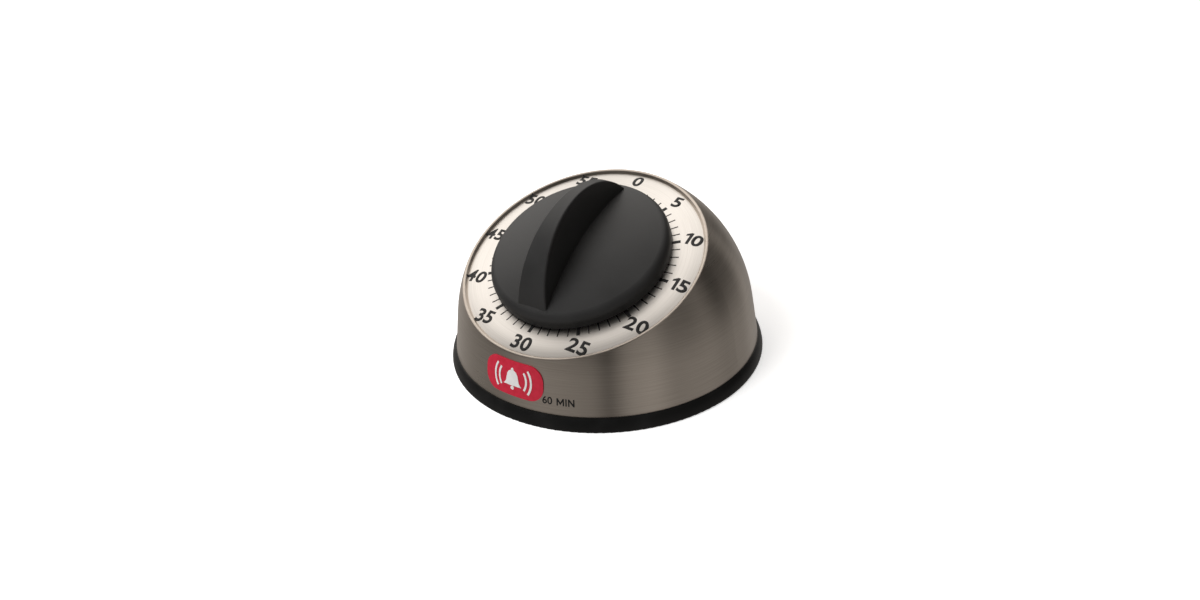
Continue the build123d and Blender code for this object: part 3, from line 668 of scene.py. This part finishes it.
# The bell: half of its outline, its clapper and loop, and two pairs of arcs that stand for its ringing
bellSign = {
    "half": [(0.5, 2.2), (1.15, 1.85), (1.6, 1.1), (1.8, 0.1), (2.0, -0.9), (2.35, -1.45), (2.75, -1.85)],
    "dots": [(0, -2.45, 0.5), (0, 2.45, 0.42)],
    "arcs": [3.9, 5.3],
    "arcHalf": 34,
    "arcWidth": 0.55,
    "dotSteps": 20,
    "arcSteps": 12,
    "reach": (7, 4),
    "proud": 0.33,
    "sunk": 0.0,
}


def addFace(bm, points):
    bm.faces.new([bm.verts.new((x, y, 0)) for x, y in points]).normal_update()


def makeBell():
    bm = bmesh.new()
    right = bellSign["half"]
    addFace(bm, right[::-1] + [(-x, y) for x, y in right])
    for x, y, radius in bellSign["dots"]:
        turns = [2 * pi * i / bellSign["dotSteps"] for i in range(bellSign["dotSteps"])]
        addFace(bm, [(x + radius * cos(turn), y + radius * sin(turn)) for turn in turns])
    for radius in bellSign["arcs"]:
        for side in (1, -1):
            steps = bellSign["arcSteps"]
            turns = [radians(bellSign["arcHalf"] * (2 * i / steps - 1)) for i in range(steps + 1)]
            outer = radius + bellSign["arcWidth"]
            points = [(side * radius * cos(turn), radius * sin(turn)) for turn in turns]
            points += [(side * outer * cos(turn), outer * sin(turn)) for turn in turns[::-1]]
            addFace(bm, points)
    bmesh.ops.triangulate(bm, faces=bm.faces[:])
    cutCells(bm, bellSign["reach"], ink["cell"])
    layOnSteel(bm, OntoWall(badge["azimuth"], ringTop + badge["rise"]), bellSign["proud"], bellSign["sunk"])
    addPiece("badge_bell", bm, whiteFinish)


rangeText = {
    "azimuth": 17.9,
    "rise": 3.6,
    "height": 1.9,
    "width": 1.9,
    "stroke": 0.34,
    "bold": 0.04,
    "space": 0.6,  # share of a letter's width between the figures and the letters
    "reach": (6, 2),
}


# An M, I or N as one outline, with its slanting strokes meeting at shares of its height
def drawLetter(letter):
    height, stroke = rangeText["height"], rangeText["stroke"]
    width = {"M": rangeText["width"], "I": stroke, "N": rangeText["width"] * 0.85}[letter]
    middle = width / 2
    inner = width - stroke
    leftFoot = [(0, 0), (stroke, 0)]
    outlines = {
        "M": leftFoot
        + [(stroke, height * 0.6), (middle, height * 0.1), (inner, height * 0.6), (inner, 0), (width, 0)]
        + [(width, height), (inner, height), (middle, height * 0.45), (stroke, height), (0, height)],
        "I": leftFoot + [(stroke, height), (0, height)],
        "N": leftFoot
        + [(stroke, height * 0.66), (inner, 0), (width, 0), (width, height), (inner, height)]
        + [(inner, height * 0.34), (stroke, height), (0, height)],
    }
    bm = bmesh.new()
    addFace(bm, outlines[letter])
    bmesh.ops.triangulate(bm, faces=bm.faces[:])
    return bm


def makeRangeText():
    bm = textMesh("60", rangeText["height"] / numerals["capital"], rangeText["bold"])
    bmesh.ops.translate(bm, verts=bm.verts[:], vec=(-spanOf(bm)[0], -spanOf(bm)[2], 0))
    cursor = spanOf(bm)[1] + rangeText["width"] * rangeText["space"]
    for letter in "MIN":
        one = drawLetter(letter)
        bmesh.ops.translate(one, verts=one.verts[:], vec=(cursor, 0, 0))
        cursor = spanOf(one)[1] + rangeText["stroke"]
        pour(one, bm)
    left, right, low, high = spanOf(bm)
    bmesh.ops.translate(bm, verts=bm.verts[:], vec=(-(left + right) / 2, -(low + high) / 2, 0))
    cutCells(bm, rangeText["reach"], ink["cell"])
    layOnSteel(bm, OntoWall(rangeText["azimuth"], ringTop + rangeText["rise"]), ink["proud"], ink["sunk"])
    addPiece("range_print", bm, inkFinish)


makeBadge()
makeBell()
makeRangeText()
print("badge made")


# Studio: a pale floor, a large soft light high behind the timer on its left, and soft panels all round
studio = {
    "floorSize": 40.0,
    "floor": rgb(0.9, 0.9, 0.9),
    "floorGlow": 0.55,
    "lightAim": Vector((-0.56, 0.42, 0.72)),
    "lightEdge": (0.6, 0.9),
    "light": 1.15,
    "table": 0.27,
    "sides": 0.11,
    # bearing round the timer from its front, with the brightness of the table and of the room there
    "panels": [
        (-180, 1.25, 0.45),
        (-165, 1.3, 0.45),
        (-135, 1.25, 0.6),
        (-107, 1.3, 1.6),
        (-80, 0.95, 1.0),
        (-52, 0.9, 0.4),
        (-20, 1.4, 1.6),
        (4, 1.3, 1.2),
        (24, 1.15, 0.8),
        (36, 0.6, 0.1),
        (50, 1.4, 1.9),
        (68, 1.75, 2.3),
        (84, 1.2, 1.2),
        (100, 1.35, 0.9),
        (115, 1.3, 1.5),
        (132, 1.05, 0.15),
        (148, 1.25, 0.5),
        (158, 1.15, 0.4),
        (171, 1.6, 1.6),
        (180, 1.25, 0.45),
    ],
    "brightest": 3,  # panel brightness that fills the colour ramp
    "horizon": (-0.28, -0.02),
    "tint": rgb(1.0, 0.955, 0.91),
    "lampPlace": Vector((-0.30, -0.55, 0.60)),
    "lampSize": 0.6,
    "lampPower": 7.0,
}


def makeFloor():
    finish = Finish("floor")
    here = finish.place()
    clouds = finish.noise(here, scale=0.01)
    finish.surface(
        Base_Color=finish.mix(clouds, studio["floor"], rgb(0.88, 0.88, 0.88)),
        Roughness=0.8 + (clouds - 0.5) * 0.1,
        Specular_IOR_Level=0.1,
        Emission_Color=rgb(1, 1, 1),
        Emission_Strength=studio["floorGlow"],
    )
    bm = bmesh.new()
    bmesh.ops.create_grid(bm, x_segments=1, y_segments=1, size=studio["floorSize"] / 2)
    mesh = bpy.data.meshes.new("floor")
    bm.to_mesh(mesh)
    bm.free()
    mesh.materials.append(finish.owner)
    floor = bpy.data.objects.new("floor", mesh)
    scene.collection.objects.link(floor)
    floor.visible_glossy = False
    floor.visible_diffuse = False


def makeWorld():
    world = bpy.data.worlds.new("studio")
    scene.world = world
    room = Finish("studio", world)
    direction = room.field("TexCoord", output="Generated")
    x, y, z = room.split(direction)
    aim = tuple(studio["lightAim"].normalized())
    facing = room.vector("DOT_PRODUCT", direction, aim, "Value")
    bearing = room.field("Math", {"operation": "ARCTAN2"}, {0: x, 1: 0 - y}) / (2 * pi) + 0.5
    most = studio["brightest"]
    stops = [
        (place / 360 + 0.5, (table / most, sides / most, 0)) for place, table, sides in studio["panels"]
    ]
    panels = room.field("ValToRGB", {"stops": stops}, {"Fac": bearing}, "Color")
    table, sides, _ = room.split(panels)
    above = z.rise(*studio["horizon"])
    around = table * (1 - above) * (most * studio["table"]) + sides * above * (most * studio["sides"])
    brightness = around + facing.rise(*studio["lightEdge"]) * studio["light"]
    shade = room.field("Background", inputs={"Color": studio["tint"], "Strength": brightness})
    white = room.field("Background", inputs={"Color": rgb(1, 1, 1), "Strength": 1.0})
    seen = room.field("LightPath", output="Is Camera Ray")
    mixed = room.field("MixShader", inputs={0: seen, 1: shade, 2: white})
    room.node("OutputWorld", inputs={"Surface": mixed})


# A soft lamp that only matt surfaces show
def makeLamp():
    data = bpy.data.lights.new("lamp", "AREA")
    data.size = studio["lampSize"]
    data.energy = studio["lampPower"]
    lamp = bpy.data.objects.new("lamp", data)
    lamp.location = studio["lampPlace"]
    lamp.rotation_euler = studio["lampPlace"].to_track_quat("Z", "Y").to_euler()
    lamp.visible_glossy = False
    lamp.visible_camera = False
    scene.collection.objects.link(lamp)


makeFloor()
makeWorld()
makeLamp()
scene.view_settings.view_transform = "Standard"
print("studio lit")
